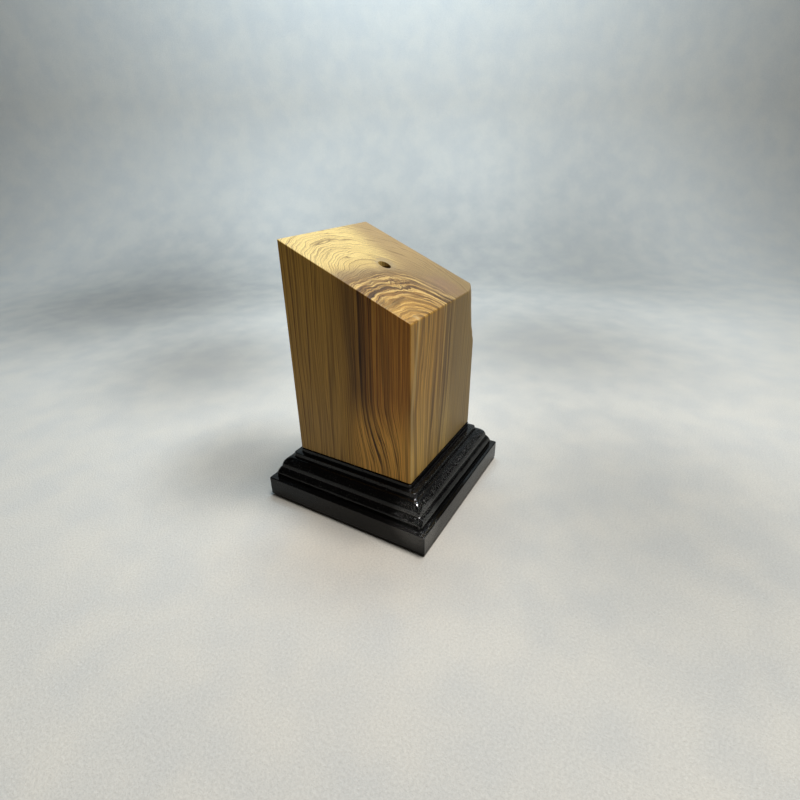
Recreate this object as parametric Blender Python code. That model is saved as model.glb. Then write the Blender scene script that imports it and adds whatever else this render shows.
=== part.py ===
"""Slant-topped olive-wood display block on a black moulded base.

The block is a sawn prism of olive wood.  Its top slopes down to one side, the vertical
corner at the low right is the rounded outside of the log (wane), and a blind rod hole is
drilled straight down in the middle of the top.  The base is one piece of wood with a
moulding run round its four sides and a low raised seat under the block.  Two countersunk
wood screws go up through the base into the block, and a thin felt pad covers their holes.

Frame: the origin is the centre of the footprint, on the surface that the pad rests on.
+Z is up, -Y is the low side of the slope, and +X is to the right seen from the low side.
All sizes are in metres.
"""

import math

import bmesh
import bpy
from mathutils import Matrix, Vector

# Clearance between pieces that touch on the real object.
TOUCH_GAP = 0.0003

# Felt pad.
PAD_THICKNESS = 0.0009
PAD_INSET = 0.003
PAD_CORNER_RADIUS = 0.002

# Moulded base, from the underside up.  The tier's flat top stands out from the block by
# its margins, and the moulding steps out from the tier to the plinth.
TIER_MARGIN_SIDES = 0.0022
TIER_MARGIN_FRONT_BACK = 0.00355
PLINTH_HEIGHT = 0.0093
SHELF_WIDTH = 0.0025
NECK_HEIGHT = 0.0022
SPLAY_RISE = 0.0030
SPLAY_RUN = 0.0012
QUIRK_WIDTH = 0.0006
OVOLO_RISE = 0.0047
OVOLO_RUN = 0.0035
OVOLO_BULGE = 0.0005
LEDGE_WIDTH = 0.0011
TIER_HEIGHT = 0.0024
TIER_DRAFT = 0.0003
SEAT_HEIGHT = 0.0022
SEAT_REVEAL = 0.0004
BASE_ARRIS = 0.0002

# Olive block.
BLOCK_WIDTH = 0.0622
BLOCK_DEPTH = 0.0595
BLOCK_HIGH_SIDE = 0.0957
TOP_SLOPE = math.radians(23.0)

# Wane: the log's outside left on the low right corner.
WANE_WIDTH = 0.0095
WANE_DEPTH = 0.0032
WANE_LENGTH = 0.026
WANE_BULGE = 0.07
# (share of the length below the top, share of the full size) down the corner.
WANE_PROFILE = (
    (0.0, 1.0),
    (0.1, 0.86),
    (0.28, 0.76),
    (0.48, 0.64),
    (0.68, 0.52),
    (0.84, 0.27),
    (1.0, 0.05),
)

# Rod hole in the sloping top.
ROD_HOLE_DIAMETER = 0.006
ROD_HOLE_DEPTH = 0.020

# Countersunk wood screws, 4.0 x 35.
SCREW_SPACING = 0.034
SCREW_LENGTH = 0.035
SCREW_DIAMETER = 0.004
SCREW_CORE_DIAMETER = 0.0027
SCREW_SHANK_DIAMETER = 0.0029
SCREW_PITCH = 0.0018
SCREW_THREAD_LENGTH = 0.023
# Share of the pitch at which each flank of the thread ends.
THREAD_FLANKS = (0.45, 0.50, 0.95)
SCREW_POINT_LENGTH = 0.004
SCREW_HEAD_DIAMETER = 0.008
SCREW_HEAD_RIM = 0.0004
RECESS_WIDTH = 0.0009
RECESS_SPAN = 0.0042
RECESS_DEPTH = 0.0017
COUNTERBORE_DEPTH = 0.006
SCREW_CLEARANCE = 0.0003
PILOT_EXTRA_DEPTH = 0.002

# Smoothness of round shapes.
HOLE_SEGMENTS = 32
SCREW_SEGMENTS = 20
THREAD_STEPS = 12
ARC_STEPS = 6
WANE_STEPS = 8
OVERCUT = 0.001

# Half sizes in plan, worked out from the sizes above.
TIER_X = BLOCK_WIDTH / 2 + TIER_MARGIN_SIDES
TIER_Y = BLOCK_DEPTH / 2 + TIER_MARGIN_FRONT_BACK
MOULDING_PROJECTION = TIER_DRAFT + LEDGE_WIDTH + OVOLO_RUN + QUIRK_WIDTH + SPLAY_RUN + SHELF_WIDTH
PAD_X = TIER_X + MOULDING_PROJECTION - PAD_INSET
PAD_Y = TIER_Y + MOULDING_PROJECTION - PAD_INSET

# Heights worked out from the sizes above.
BASE_BOTTOM = PAD_THICKNESS + TOUCH_GAP
TIER_TOP = BASE_BOTTOM + PLINTH_HEIGHT + NECK_HEIGHT + SPLAY_RISE + OVOLO_RISE + TIER_HEIGHT
SEAT_TOP = TIER_TOP + SEAT_HEIGHT
BLOCK_BOTTOM = SEAT_TOP + TOUCH_GAP
BLOCK_TOP = BLOCK_BOTTOM + BLOCK_HIGH_SIDE
SCREW_HEAD_FACE = BASE_BOTTOM + COUNTERBORE_DEPTH
SCREW_TIP = SCREW_HEAD_FACE + SCREW_LENGTH
CLEARANCE_DIAMETER = SCREW_DIAMETER + 2 * SCREW_CLEARANCE
COUNTERSINK_DIAMETER = SCREW_HEAD_DIAMETER + 2 * SCREW_CLEARANCE

# Finishes: linear base colour, roughness, metallic.
FINISHES = {
    "olive_wood": ((0.40, 0.25, 0.11), 0.45, 0.0),
    "black_lacquer": ((0.012, 0.012, 0.013), 0.18, 0.0),
    "zinc_plated_steel": ((0.62, 0.60, 0.55), 0.30, 1.0),
    "black_felt": ((0.02, 0.02, 0.02), 0.95, 0.0),
}


def clear_scene():
    """Removes every object that the scene starts with."""
    for obj in list(bpy.data.objects):
        bpy.data.objects.remove(obj, do_unlink=True)


def finish_material(name):
    """The named finish as a Principled BSDF material, made once."""
    if name in bpy.data.materials:
        return bpy.data.materials[name]
    colour, roughness, metallic = FINISHES[name]
    material = bpy.data.materials.new(name)
    material.use_nodes = True
    shader = material.node_tree.nodes["Principled BSDF"]
    shader.inputs["Base Color"].default_value = (*colour, 1.0)
    shader.inputs["Roughness"].default_value = roughness
    shader.inputs["Metallic"].default_value = metallic
    return material


def link_object(name, mesh, finish=None):
    """A new scene object around a mesh, with its finish."""
    obj = bpy.data.objects.new(name, mesh)
    bpy.context.scene.collection.objects.link(obj)
    if finish:
        mesh.materials.append(finish_material(finish))
        mesh.shade_smooth()
        mesh.set_sharp_from_angle(angle=math.radians(30))
    return obj


def mesh_from(bm, name):
    """The bmesh as a mesh with its faces turned outwards."""
    bmesh.ops.recalc_face_normals(bm, faces=bm.faces)
    mesh = bpy.data.meshes.new(name)
    bm.to_mesh(mesh)
    bm.free()
    return mesh


def make_helper(obj):
    """Marks an object as a cutter or a guide that isn't part of the model."""
    obj.hide_render = True
    obj.display_type = "WIRE"
    return obj


def add_boolean(obj, other, operation="DIFFERENCE"):
    """Puts an exact Boolean of another object on this one."""
    modifier = obj.modifiers.new(f"{operation.lower()}_{other.name}", "BOOLEAN")
    modifier.operation = operation
    modifier.solver = "EXACT"
    modifier.object = other


def loft(sections):
    """A closed body through sections, each a list of the same number of points."""
    bm = bmesh.new()
    ring = bmesh.ops.create_circle(bm, segments=len(sections[0]), radius=1.0, cap_ends=True)["verts"]
    for vertex, point in zip(ring, sections[0]):
        vertex.co = point
    for points in sections[1:]:
        rim = {edge for vertex in ring for edge in vertex.link_edges if edge.other_vert(vertex) in ring}
        made = bmesh.ops.extrude_edge_only(bm, edges=list(rim))["geom"]
        copies = {}
        for vertex in (item for item in made if isinstance(item, bmesh.types.BMVert)):
            below = {edge.other_vert(vertex) for edge in vertex.link_edges} & set(ring)
            copies[below.pop()] = vertex
        ring = [copies[vertex] for vertex in ring]
        for vertex, point in zip(ring, points):
            vertex.co = point
    bmesh.ops.contextual_create(bm, geom=ring)
    return bm


def lathe(profile, segments):
    """A solid turned about Z from a profile of (radius, height) that starts and ends on the axis."""
    bm = bmesh.new()
    verts = [bm.verts.new((radius, 0.0, height)) for radius, height in profile]
    edges = [bm.edges.new(pair) for pair in zip(verts, verts[1:])]
    bmesh.ops.spin(
        bm,
        geom=verts + edges,
        cent=(0, 0, 0),
        axis=(0, 0, 1),
        angle=2 * math.pi,
        steps=segments,
        use_merge=True,
    )
    bmesh.ops.remove_doubles(bm, verts=bm.verts, dist=1e-7)
    return bm


def rectangle(half_x, half_y, z):
    """The corners of a level rectangle about the origin."""
    corners = ((-half_x, -half_y), (half_x, -half_y), (half_x, half_y), (-half_x, half_y))
    return [Vector((x, y, z)) for x, y in corners]


def arc(start, end, bulge, steps):
    """Points after start on a circular arc to end, standing out from the chord by bulge to its right."""
    start, end = Vector(start), Vector(end)
    chord = end - start
    side = Vector((chord.y, -chord.x)).normalized()
    radius = (chord.length_squared / 4 + bulge**2) / (2 * abs(bulge))
    centre = (start + end) / 2 + side * (bulge - math.copysign(radius, bulge))
    turn = (start - centre).angle_signed(end - centre)
    points = []
    for step in range(1, steps + 1):
        points.append(centre + Matrix.Rotation(-turn * step / steps, 2) @ (start - centre))
    return points


def top_height(y):
    """Height of the sloping top at a depth y."""
    return BLOCK_TOP - (BLOCK_DEPTH / 2 - y) * math.tan(TOP_SLOPE)


def moulding_profile():
    """(distance out from the tier's top edge, height) up the moulding, from the underside."""
    out = MOULDING_PROJECTION
    z = BASE_BOTTOM
    points = [(out, z), (out, z + PLINTH_HEIGHT)]
    out -= SHELF_WIDTH
    z += PLINTH_HEIGHT
    points.append((out, z))
    z += NECK_HEIGHT
    points.append((out, z))
    out -= SPLAY_RUN
    z += SPLAY_RISE
    points.append((out, z))
    out -= QUIRK_WIDTH
    points.append((out, z))
    ovolo_end = (out - OVOLO_RUN, z + OVOLO_RISE)
    points += [tuple(p) for p in arc((out, z), ovolo_end, OVOLO_BULGE, ARC_STEPS)]
    points.append((TIER_DRAFT, ovolo_end[1]))
    points.append((0.0, TIER_TOP))
    return points


def make_base():
    """The moulded base with its seat and the two screw holes."""
    sections = [rectangle(TIER_X + out, TIER_Y + out, z) for out, z in moulding_profile()]
    seat_x = BLOCK_WIDTH / 2 + SEAT_REVEAL
    seat_y = BLOCK_DEPTH / 2 + SEAT_REVEAL
    sections.append(rectangle(seat_x, seat_y, TIER_TOP))
    sections.append(rectangle(seat_x, seat_y, SEAT_TOP))
    base = link_object("moulded_base", mesh_from(loft(sections), "moulded_base"), "black_lacquer")
    bevel = base.modifiers.new("arris", "BEVEL")
    bevel.width = BASE_ARRIS
    bevel.segments = 1
    bevel.limit_method = "ANGLE"
    bevel.angle_limit = math.radians(40)
    countersink_rise = (COUNTERSINK_DIAMETER - CLEARANCE_DIAMETER) / 2
    hole = [
        (0, BASE_BOTTOM - OVERCUT),
        (COUNTERSINK_DIAMETER / 2, BASE_BOTTOM - OVERCUT),
        (COUNTERSINK_DIAMETER / 2, SCREW_HEAD_FACE + SCREW_HEAD_RIM),
        (CLEARANCE_DIAMETER / 2, SCREW_HEAD_FACE + SCREW_HEAD_RIM + countersink_rise),
        (CLEARANCE_DIAMETER / 2, SEAT_TOP + OVERCUT),
        (0, SEAT_TOP + OVERCUT),
    ]
    for side in (-1, 1):
        cutter = link_object(f"base_hole_{side}", mesh_from(lathe(hole, HOLE_SEGMENTS), "base_hole"))
        cutter.location.x = side * SCREW_SPACING / 2
        add_boolean(base, make_helper(cutter))


def block_outline(wane):
    """(x, y) round the block's section, with the wane on its low right corner at the given share."""
    x, y = BLOCK_WIDTH / 2, BLOCK_DEPTH / 2
    start = (x - WANE_WIDTH * wane, -y)
    end = (x, -y + WANE_DEPTH * wane)
    bulge = WANE_BULGE * wane * math.hypot(WANE_WIDTH, WANE_DEPTH)
    wane_points = [Vector(start)] + arc(start, end, bulge, WANE_STEPS)
    return [Vector((-x, -y))] + wane_points + [Vector((x, y)), Vector((-x, y))]


def make_block():
    """The olive block with its slope, wane, rod hole and screw pilots."""
    low_height = top_height(-BLOCK_DEPTH / 2) - BLOCK_BOTTOM
    levels = [(0.0, WANE_PROFILE[-1][1])]
    for depth, share in reversed(WANE_PROFILE):
        levels.append((1.0 - depth * WANE_LENGTH / low_height, share))
    sections = []
    for level, share in levels:
        points = block_outline(share)
        sections.append([
            Vector((p.x, p.y, BLOCK_BOTTOM + level * (top_height(p.y) - BLOCK_BOTTOM))) for p in points
        ])
    block = link_object("olive_block", mesh_from(loft(sections), "olive_block"), "olive_wood")
    hole_radius = ROD_HOLE_DIAMETER / 2
    hole_bottom = top_height(0) - ROD_HOLE_DEPTH
    hole_top = BLOCK_TOP + OVERCUT
    hole = [(0, hole_bottom), (hole_radius, hole_bottom), (hole_radius, hole_top), (0, hole_top)]
    cutter = link_object("rod_hole", mesh_from(lathe(hole, HOLE_SEGMENTS), "rod_hole"))
    add_boolean(block, make_helper(cutter))
    pilot_radius = CLEARANCE_DIAMETER / 2
    pilot_top = SCREW_TIP + PILOT_EXTRA_DEPTH
    pilot_low = BLOCK_BOTTOM - OVERCUT
    pilot = [
        (0, pilot_low),
        (pilot_radius, pilot_low),
        (pilot_radius, pilot_top),
        (0, pilot_top + pilot_radius),
    ]
    for side in (-1, 1):
        cutter = link_object(f"pilot_hole_{side}", mesh_from(lathe(pilot, HOLE_SEGMENTS), "pilot_hole"))
        cutter.location.x = side * SCREW_SPACING / 2
        add_boolean(block, make_helper(cutter))


def screw_thread():
    """A helical thread about Z from height 0 up, closed at both ends, as a helper."""
    turns = math.ceil(SCREW_THREAD_LENGTH / SCREW_PITCH) + 1
    root = SCREW_CORE_DIAMETER / 2 - TOUCH_GAP
    crest = SCREW_DIAMETER / 2
    bm = bmesh.new()
    rising, crest_end, falling = (SCREW_PITCH * share for share in THREAD_FLANKS)
    profile = ((root, 0.0), (crest, rising), (crest, crest_end), (root, falling), (root, SCREW_PITCH))
    verts = [bm.verts.new((radius, 0.0, height)) for radius, height in profile]
    edges = [bm.edges.new(pair) for pair in zip(verts, verts[1:])]
    steps = turns * THREAD_STEPS
    bmesh.ops.spin(
        bm,
        geom=verts + edges,
        cent=(0, 0, 0),
        axis=(0, 0, 1),
        dvec=(0, 0, SCREW_PITCH / THREAD_STEPS),
        angle=turns * 2 * math.pi,
        steps=steps,
    )
    bmesh.ops.remove_doubles(bm, verts=bm.verts, dist=1e-7)
    bottom = {edge for edge in bm.edges if edge.is_boundary and min(v.co.z for v in edge.verts) < SCREW_PITCH}
    top = {edge for edge in bm.edges if edge.is_boundary} - bottom
    for rim, height in ((bottom, 0.0), (top, (turns + 1) * SCREW_PITCH)):
        made = bmesh.ops.extrude_edge_only(bm, edges=list(rim))["geom"]
        apex = [item for item in made if isinstance(item, bmesh.types.BMVert)]
        bmesh.ops.pointmerge(bm, verts=apex, merge_co=(0, 0, height))
    return make_helper(link_object("screw_thread", mesh_from(bm, "screw_thread")))


def make_screws():
    """Two countersunk wood screws, heads down, from one shared mesh."""
    shank = SCREW_SHANK_DIAMETER / 2
    core = SCREW_CORE_DIAMETER / 2
    crest = SCREW_DIAMETER / 2
    head = SCREW_HEAD_DIAMETER / 2
    thread_start = SCREW_LENGTH - SCREW_THREAD_LENGTH
    point_start = SCREW_LENGTH - SCREW_POINT_LENGTH
    body = [
        (0, 0),
        (head, 0),
        (head, SCREW_HEAD_RIM),
        (shank, SCREW_HEAD_RIM + head - shank),
        (shank, thread_start),
        (core, thread_start + shank - core),
        (core, point_start),
        (0, SCREW_LENGTH),
    ]
    envelope = [
        (0, thread_start),
        (shank - TOUCH_GAP, thread_start),
        (crest, thread_start + SCREW_PITCH),
        (crest, point_start),
        (0, SCREW_LENGTH - TOUCH_GAP),
    ]
    body_mesh = mesh_from(lathe(body, SCREW_SEGMENTS), "screw_body")
    screw = link_object("screw_pattern", body_mesh, "zinc_plated_steel")
    thread = screw_thread()
    thread.location.z = thread_start - SCREW_PITCH
    limit = link_object("thread_limit", mesh_from(lathe(envelope, SCREW_SEGMENTS), "thread_limit"))
    add_boolean(thread, make_helper(limit), "INTERSECT")
    add_boolean(screw, thread, "UNION")
    for turn in (0, math.pi / 2):
        bm = bmesh.new()
        slot = bmesh.ops.create_cube(bm, size=1.0)["verts"]
        bmesh.ops.scale(bm, verts=slot, vec=(RECESS_SPAN, RECESS_WIDTH, 2 * RECESS_DEPTH))
        bmesh.ops.rotate(bm, verts=slot, cent=(0, 0, 0), matrix=Matrix.Rotation(turn, 3, "Z"))
        for vertex in slot:
            if vertex.co.z > 0:
                vertex.co.xy *= RECESS_WIDTH / RECESS_SPAN * 2
        add_boolean(screw, make_helper(link_object(f"recess_{turn:.0f}", mesh_from(bm, "recess"))))
    bpy.context.view_layer.update()
    graph = bpy.context.evaluated_depsgraph_get()
    mesh = bpy.data.meshes.new_from_object(screw.evaluated_get(graph))
    mesh.name = "base_screw"
    bpy.data.objects.remove(screw)
    for name, side in (("base_screw_left", -1), ("base_screw_right", 1)):
        copy = bpy.data.objects.new(name, mesh)
        bpy.context.scene.collection.objects.link(copy)
        copy.location = (side * SCREW_SPACING / 2, 0, SCREW_HEAD_FACE)


def make_pad():
    """The felt pad under the base, with its corners rounded."""
    bm = loft([rectangle(PAD_X, PAD_Y, 0.0), rectangle(PAD_X, PAD_Y, PAD_THICKNESS)])
    corners = [edge for edge in bm.edges if abs(edge.verts[0].co.z - edge.verts[1].co.z) > PAD_THICKNESS / 2]
    bmesh.ops.bevel(
        bm,
        geom=corners,
        offset=PAD_CORNER_RADIUS,
        segments=ARC_STEPS,
        profile=0.5,
        affect="EDGES",
        material=-1,
    )
    link_object("felt_pad", mesh_from(bm, "felt_pad"), "black_felt")


clear_scene()
make_pad()
make_base()
make_screws()
make_block()
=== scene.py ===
"""Looks of the olive-wood display block on its black moulded base.

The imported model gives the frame: where every piece is and how large it is.  This script builds
the fine surface of the block, the base and the felt pad in its place, gives each piece and each
carried-over screw a procedural finish, and sets up a plain studio around them.

Meshes are in metres.  Patterns in the finishes are worked out in millimetres on Object
coordinates.  The frame's origin is the centre of the footprint, +Z is up and -Y is the low side
of the block's sloping top.
"""

import logging
import math
from collections.abc import Callable, Iterable, Sequence
from dataclasses import dataclass, field
from enum import Enum

import bmesh
import bpy
from mathutils import Matrix, Vector, noise


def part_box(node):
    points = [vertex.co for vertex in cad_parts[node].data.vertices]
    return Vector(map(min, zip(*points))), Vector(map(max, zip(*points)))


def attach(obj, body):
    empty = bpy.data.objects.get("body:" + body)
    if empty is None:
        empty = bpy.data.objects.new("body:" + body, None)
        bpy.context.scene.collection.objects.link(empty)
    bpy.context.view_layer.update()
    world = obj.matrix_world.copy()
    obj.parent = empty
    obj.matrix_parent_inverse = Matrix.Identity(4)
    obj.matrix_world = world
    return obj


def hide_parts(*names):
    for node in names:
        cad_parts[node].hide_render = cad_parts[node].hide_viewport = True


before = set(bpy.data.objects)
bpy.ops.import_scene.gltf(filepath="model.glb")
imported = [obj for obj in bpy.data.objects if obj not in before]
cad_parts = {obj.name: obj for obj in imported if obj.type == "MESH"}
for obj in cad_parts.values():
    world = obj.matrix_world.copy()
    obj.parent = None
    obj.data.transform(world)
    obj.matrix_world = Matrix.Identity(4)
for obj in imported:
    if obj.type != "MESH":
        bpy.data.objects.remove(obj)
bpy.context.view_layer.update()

LOG = logging.getLogger("olive_pedestal")
BODY = "root"
SHARP_ANGLE = math.radians(38)
# Faces under this area, in square metres, are on a rounded edge and are shaded smooth.
FLAT_AREA = 2.0e-6
# Sides over this length, in metres, are cut into steps; shorter ones belong to a rounded corner.
LONG_SIDE = 0.02
MERGE_DISTANCE = 1e-7

Point2 = tuple[float, float]
Point3 = tuple[float, float, float]
Colour = tuple[float, float, float, float]
Socket = bpy.types.NodeSocket
Input = float | Sequence[float] | Socket


class Node(Enum):
    """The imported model's nodes."""

    BLOCK = "olive_block"
    BASE = "moulded_base"
    PAD = "felt_pad"
    SCREW_LEFT = "base_screw_left"
    SCREW_RIGHT = "base_screw_right"


class Slot(Enum):
    """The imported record's material slots."""

    OLIVE = "olive_wood"
    LACQUER = "black_lacquer"
    FELT = "felt"


def linear(hex_colour: str) -> Colour:
    """Turns an sRGB hex colour into the linear colour that a shader takes.

    Args:
        hex_colour: Six hex digits.

    Returns:
        Linear red, green, blue and an alpha of 1.
    """
    channels = [int(hex_colour[i : i + 2], 16) / 255 for i in (0, 2, 4)]
    red, green, blue = (c / 12.92 if c <= 0.04045 else ((c + 0.055) / 1.055) ** 2.4 for c in channels)
    return red, green, blue, 1.0


def stop_colour(tone: float | str) -> Colour:
    """The linear colour of a ramp's stop, from a grey level or an sRGB hex colour."""
    return linear(tone) if isinstance(tone, str) else (tone, tone, tone, 1.0)


# ---------------------------------------------------------------------------
# Mesh tools
# ---------------------------------------------------------------------------


def loft(sections: Sequence[Sequence[Vector]]) -> bmesh.types.BMesh:
    """Makes a closed body through sections by extruding one ring of points on to the next.

    Args:
        sections: Rings of the same number of points, from one end to the other.

    Returns:
        The body, with both ends capped and its faces turned outwards.
    """
    bm = bmesh.new()
    ring = bmesh.ops.create_circle(bm, segments=len(sections[0]), radius=1.0, cap_ends=True)["verts"]
    for vertex, point in zip(ring, sections[0]):
        vertex.co = point
    for points in sections[1:]:
        members = set(ring)
        # A dict drops the doubles and keeps the order, so that each run makes the same mesh.
        edges = (edge for vertex in ring for edge in vertex.link_edges)
        rim = list(dict.fromkeys(edge for edge in edges if members.issuperset(edge.verts)))
        made = bmesh.ops.extrude_edge_only(bm, edges=rim)["geom"]
        copies = {}
        for vertex in (item for item in made if isinstance(item, bmesh.types.BMVert)):
            below = {edge.other_vert(vertex) for edge in vertex.link_edges} & members
            copies[below.pop()] = vertex
        ring = [copies[vertex] for vertex in ring]
        for vertex, point in zip(ring, points):
            vertex.co = point
    bmesh.ops.contextual_create(bm, geom=ring)
    bmesh.ops.recalc_face_normals(bm, faces=bm.faces)
    return bm


def lathe(profile: Sequence[Point2], segments: int) -> bmesh.types.BMesh:
    """Turns a solid about Z from a profile that starts and ends on the axis.

    Args:
        profile: (radius, height) points.
        segments: Number of steps round the axis.

    Returns:
        The solid, with its poles closed and its faces turned outwards.
    """
    bm = bmesh.new()
    verts = [bm.verts.new((radius, 0.0, height)) for radius, height in profile]
    edges = [bm.edges.new(pair) for pair in zip(verts, verts[1:])]
    bmesh.ops.spin(
        bm,
        geom=verts + edges,
        cent=(0, 0, 0),
        axis=(0, 0, 1),
        angle=2 * math.pi,
        steps=segments,
        use_merge=True,
    )
    bmesh.ops.remove_doubles(bm, verts=bm.verts, dist=MERGE_DISTANCE)
    bmesh.ops.recalc_face_normals(bm, faces=bm.faces)
    return bm


def rounded(points: Sequence[Vector], radii: Sequence[float], steps: int, closed: bool) -> list[Vector]:
    """Rounds the corners of a flat line with arcs.

    Args:
        points: The line's corners.
        radii: One radius for each corner; 0 leaves it sharp.
        steps: Steps in each arc.
        closed: Whether the last point joins the first.

    Returns:
        The rounded line's points.
    """
    result: list[Vector] = []
    count = len(points)
    for i, (point, radius) in enumerate(zip(points, radii)):
        if radius <= 0 or (not closed and i in (0, count - 1)):
            result.append(point.copy())
            continue
        before = (points[i - 1] - point).normalized()
        after = (points[(i + 1) % count] - point).normalized()
        half = before.angle(after) / 2
        centre = point + (before + after).normalized() * radius / math.sin(half)
        start = point + before * radius / math.tan(half) - centre
        end = point + after * radius / math.tan(half) - centre
        turn = start.angle_signed(end)
        for step in range(steps + 1):
            result.append(centre + Matrix.Rotation(-turn * step / steps, 2) @ start)
    return result


def stepped(points: Sequence[Vector], steps_in: Callable[[float], int]) -> list[Vector]:
    """Adds points along the sides of a closed line.

    Args:
        points: The line's corners.
        steps_in: Number of equal steps in a side of the length it is given.

    Returns:
        The line with its sides cut into steps.
    """
    result = []
    for start, end in zip(points, [*points[1:], points[0]]):
        cuts = steps_in((end - start).length)
        result += [start.lerp(end, cut / cuts) for cut in range(cuts)]
    return result


def bowed(start: Vector, end: Vector, bulge: float, steps: int) -> list[Vector]:
    """Swells a flat stretch of line into a curve.

    Args:
        start: Its first point.
        end: Its last point.
        bulge: How far it swells out to the left of a straight line.
        steps: Number of steps.

    Returns:
        The points after the first, up to the last.
    """
    out = Vector((start.y - end.y, end.x - start.x)).normalized() * bulge
    shares = [step / steps for step in range(1, steps + 1)]
    return [start.lerp(end, share) + out * 4 * share * (1 - share) for share in shares]


def place_vertices(moves: dict[bmesh.types.BMVert, Vector]) -> None:
    """Moves vertices once every move has been worked out."""
    for vertex, move in moves.items():
        vertex.co += move


def unevenness(point: Vector, wavelength: float, seed: float) -> Vector:
    """A smooth random vector, about -1 to 1 in each direction, that is the same at each run.

    Args:
        point: Where to read it, in metres.
        wavelength: Size of its waves, in metres.
        seed: Picks another pattern.

    Returns:
        The vector at that point.
    """
    return noise.noise_vector(point / wavelength + Vector((seed, -seed, 2 * seed)))


def object_from(
    bm: bmesh.types.BMesh, name: str, finishes: Iterable[bpy.types.Material] = ()
) -> bpy.types.Object:
    """Puts a bmesh into a new scene object, shaded smooth between its sharp edges.

    Args:
        bm: The mesh, which is freed.
        name: The object's name.
        finishes: Its materials, in the order of the faces' material indices.

    Returns:
        The object, at the origin.
    """
    mesh = bpy.data.meshes.new(name)
    bm.to_mesh(mesh)
    bm.free()
    for finish in finishes:
        mesh.materials.append(finish)
    mesh.shade_smooth()
    mesh.set_sharp_from_angle(angle=SHARP_ANGLE)
    obj = bpy.data.objects.new(name, mesh)
    bpy.context.scene.collection.objects.link(obj)
    return obj


def cut_with(obj: bpy.types.Object, cutters: Sequence[bpy.types.Object]) -> None:
    """Cuts other objects out of this one, makes its large faces flat and removes the cutters.

    Args:
        obj: The object to cut, whose mesh is replaced.
        cutters: Closed objects.
    """
    for cutter in cutters:
        modifier = obj.modifiers.new(cutter.name, "BOOLEAN")
        modifier.operation = "DIFFERENCE"
        modifier.solver = "EXACT"
        modifier.object = cutter
    bpy.context.view_layer.update()
    graph = bpy.context.evaluated_depsgraph_get()
    mesh = bpy.data.meshes.new_from_object(obj.evaluated_get(graph))
    old = obj.data
    obj.modifiers.clear()
    obj.data = mesh
    bpy.data.meshes.remove(old)
    mesh.name = obj.name
    mesh.set_sharp_from_angle(angle=SHARP_ANGLE)
    for face in mesh.polygons:
        face.use_smooth = face.area < FLAT_AREA
    for cutter in cutters:
        bpy.data.objects.remove(cutter)


# ---------------------------------------------------------------------------
# Finishes
# ---------------------------------------------------------------------------


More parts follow.
